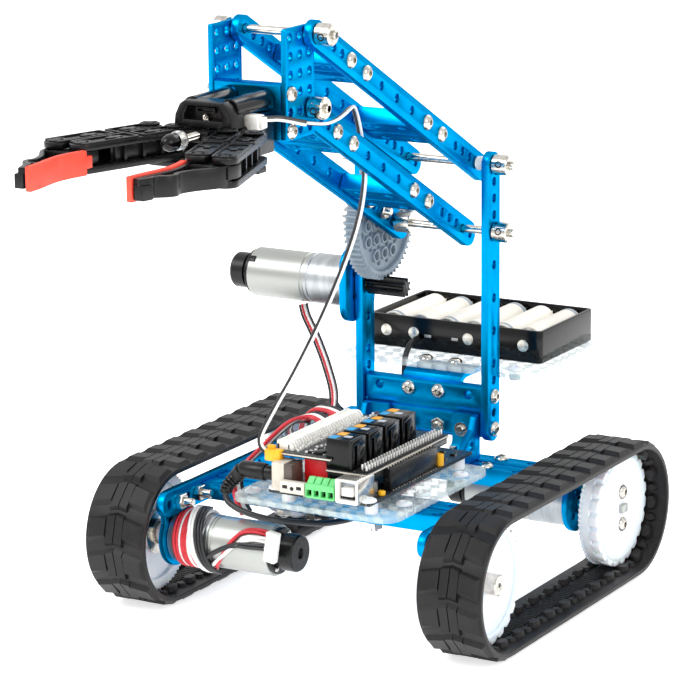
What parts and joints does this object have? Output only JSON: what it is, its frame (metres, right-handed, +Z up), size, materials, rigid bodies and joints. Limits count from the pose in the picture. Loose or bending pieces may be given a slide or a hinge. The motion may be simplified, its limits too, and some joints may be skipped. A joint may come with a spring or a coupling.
{
  "type": "tracked robot kit with arm and gripper",
  "caption": "Small tracked robot built from perforated blue beams, with motor-driven crawler tracks, a geared parallelogram arm, a two-jaw gripper, control boards and a battery box.",
  "frame": {"origin": "centre of the footprint at ground level", "axes": "+Z up, -Y the way the gripper points, +X to the machine's left, which is the right of a view from the front"},
  "size_m": [0.2086, 0.3942, 0.2855],
  "materials": {
    "anodised_blue": "satin blue anodised",
    "steel": "smooth",
    "track_rubber": "matte black",
    "white_nylon": "satin white",
    "black_plastic": "satin black",
    "gear_grey": "satin grey",
    "clear_acrylic": "clear, polished",
    "circuit_board": "solder resist",
    "cell_sleeve": "cream sleeve",
    "lead_sheath": "matte"
  },
  "bodies": {
    "chassis": {"side_beam_left": "anodised_blue", "side_beam_right": "anodised_blue", "crossbeam_front": "anodised_blue", "crossbeam_rear": "anodised_blue", "angle_bracket_left": "anodised_blue", "angle_bracket_right": "anodised_blue", "upright_crossbeam": "anodised_blue", "upright_left": "anodised_blue", "upright_right": "anodised_blue", "battery_bracket": "anodised_blue", "battery_plate": "clear_acrylic", "battery_box": "black_plastic", "battery_cells": "cell_sleeve", "board_plate": "clear_acrylic", "main_board": "circuit_board", "driver_board": "circuit_board", "track_motor_left": "steel", "track_motor_right": "steel", "arm_motor": "steel", "arm_motor_bracket": "anodised_blue", "motor_bracket_left": "anodised_blue", "motor_bracket_right": "anodised_blue", "idler_bracket_left": "anodised_blue", "idler_bracket_right": "anodised_blue", "track_left": "track_rubber", "track_right": "track_rubber", "lower_pivot_shaft": "steel", "upper_pivot_shaft": "steel", "battery_lead": "lead_sheath", "gripper_lead_base": "lead_sheath", "arm_motor_lead": "lead_sheath"},
    "drive_wheel_left": {"drive_wheel_left": "white_nylon"},
    "idler_wheel_left": {"idler_wheel_left": "white_nylon"},
    "drive_wheel_right": {"drive_wheel_right": "white_nylon"},
    "idler_wheel_right": {"idler_wheel_right": "white_nylon"},
    "lower_arm": {"lower_beam_left": "anodised_blue", "lower_beam_right": "anodised_blue", "lower_slab_front": "anodised_blue", "lower_slab_rear": "anodised_blue", "arm_gear": "gear_grey", "gripper_lead_arm": "lead_sheath"},
    "upper_arm": {"upper_beam_left": "anodised_blue", "upper_beam_right": "anodised_blue", "upper_slab_front": "anodised_blue", "upper_slab_rear": "anodised_blue"},
    "arm_pinion": {"arm_pinion": "black_plastic"},
    "wrist": {"wrist_plate_left": "anodised_blue", "wrist_plate_right": "anodised_blue", "wrist_slab": "anodised_blue", "wrist_shaft_lower": "steel", "wrist_shaft_upper": "steel", "gripper_housing": "black_plastic"},
    "lead_screw": {"lead_screw": "steel"},
    "screw_nut": {"screw_nut": "steel"},
    "lever_inner_left": {"lever_inner_left": "black_plastic"},
    "lever_outer_left": {"lever_outer_left": "black_plastic"},
    "finger_left": {"finger_left": "black_plastic"},
    "lever_inner_right": {"lever_inner_right": "black_plastic"},
    "lever_outer_right": {"lever_outer_right": "black_plastic"},
    "finger_right": {"finger_right": "black_plastic"}
  },
  "joints": [
    {"name": "drive_spin_left", "type": "hinge", "parent": "chassis", "child": "drive_wheel_left", "pos_m": [-0.0813, -0.0129, 0.0335], "axis": [1, 0, 0], "continuous": true},
    {"name": "idler_spin_left", "type": "hinge", "parent": "chassis", "child": "idler_wheel_left", "pos_m": [-0.0813, 0.1231, 0.0335], "axis": [1, 0, 0], "continuous": true},
    {"name": "drive_spin_right", "type": "hinge", "parent": "chassis", "child": "drive_wheel_right", "pos_m": [0.0839, 0.1231, 0.0335], "axis": [1, 0, 0], "continuous": true},
    {"name": "idler_spin_right", "type": "hinge", "parent": "chassis", "child": "idler_wheel_right", "pos_m": [0.0839, -0.0129, 0.0335], "axis": [1, 0, 0], "continuous": true},
    {"name": "arm_lift", "type": "hinge", "parent": "chassis", "child": "lower_arm", "pos_m": [0.0013, 0.0991, 0.1673], "axis": [-1, 0, 0], "range_deg": [-40, 25]},
    {"name": "upper_arm_lift", "type": "hinge", "parent": "chassis", "child": "upper_arm", "pos_m": [0.0013, 0.0991, 0.1993], "axis": [-1, 0, 0], "range_deg": [-40, 25]},
    {"name": "pinion_spin", "type": "hinge", "parent": "chassis", "child": "arm_pinion", "pos_m": [0.0013, 0.0991, 0.1353], "axis": [-1, 0, 0], "range_deg": [-176, 281]},
    {"name": "wrist_level", "type": "hinge", "parent": "lower_arm", "child": "wrist", "pos_m": [0.0013, -0.04854, 0.24746], "axis": [-1, 0, 0], "range_deg": [-25.5, 40.5]},
    {"name": "jaw_inner_left", "type": "hinge", "parent": "wrist", "child": "lever_inner_left", "pos_m": [-0.00875, -0.1059, 0.2454], "axis": [0, 0, 1], "range_deg": [-10, 24]},
    {"name": "jaw_outer_left", "type": "hinge", "parent": "wrist", "child": "lever_outer_left", "pos_m": [-0.02125, -0.1059, 0.2454], "axis": [0, 0, 1], "range_deg": [-10, 24]},
    {"name": "finger_level_left", "type": "hinge", "parent": "lever_inner_left", "child": "finger_left", "pos_m": [-0.0238, -0.15306, 0.2454], "axis": [0, 0, 1], "range_deg": [-24.5, 10.5]},
    {"name": "jaw_inner_right", "type": "hinge", "parent": "wrist", "child": "lever_inner_right", "pos_m": [0.01725, -0.1059, 0.2454], "axis": [0, 0, -1], "range_deg": [-10, 24]},
    {"name": "jaw_outer_right", "type": "hinge", "parent": "wrist", "child": "lever_outer_right", "pos_m": [0.02975, -0.1059, 0.2454], "axis": [0, 0, -1], "range_deg": [-10, 24]},
    {"name": "finger_level_right", "type": "hinge", "parent": "lever_inner_right", "child": "finger_right", "pos_m": [0.0323, -0.15306, 0.2454], "axis": [0, 0, -1], "range_deg": [-24.5, 10.5]},
    {"name": "nut_travel", "type": "slide", "parent": "wrist", "child": "screw_nut", "axis": [0, 1, 0], "range_m": [-0.0006, 0.0014]},
    {"name": "screw_spin", "type": "hinge", "parent": "wrist", "child": "lead_screw", "pos_m": [0.00425, -0.0939, 0.2434], "axis": [0, -1, 0], "range_deg": [-150, 350]}
  ],
  "couplings": [
    {"joint": "idler_spin_left", "follows": "drive_spin_left", "ratio": 1},
    {"joint": "idler_spin_right", "follows": "drive_spin_right", "ratio": 1},
    {"joint": "upper_arm_lift", "follows": "arm_lift", "ratio": 1},
    {"joint": "pinion_spin", "follows": "arm_lift", "ratio": -7},
    {"joint": "wrist_level", "follows": "arm_lift", "ratio": -1},
    {"joint": "jaw_outer_left", "follows": "jaw_inner_left", "ratio": 1},
    {"joint": "finger_level_left", "follows": "jaw_inner_left", "ratio": -1},
    {"joint": "jaw_inner_right", "follows": "jaw_inner_left", "ratio": 1},
    {"joint": "jaw_outer_right", "follows": "jaw_inner_left", "ratio": 1},
    {"joint": "finger_level_right", "follows": "jaw_inner_left", "ratio": -1},
    {"joint": "nut_travel", "follows": "jaw_inner_left", "m_per_rad": 0.0032},
    {"joint": "screw_spin", "follows": "jaw_inner_left", "ratio": 14.36}
  ]
}
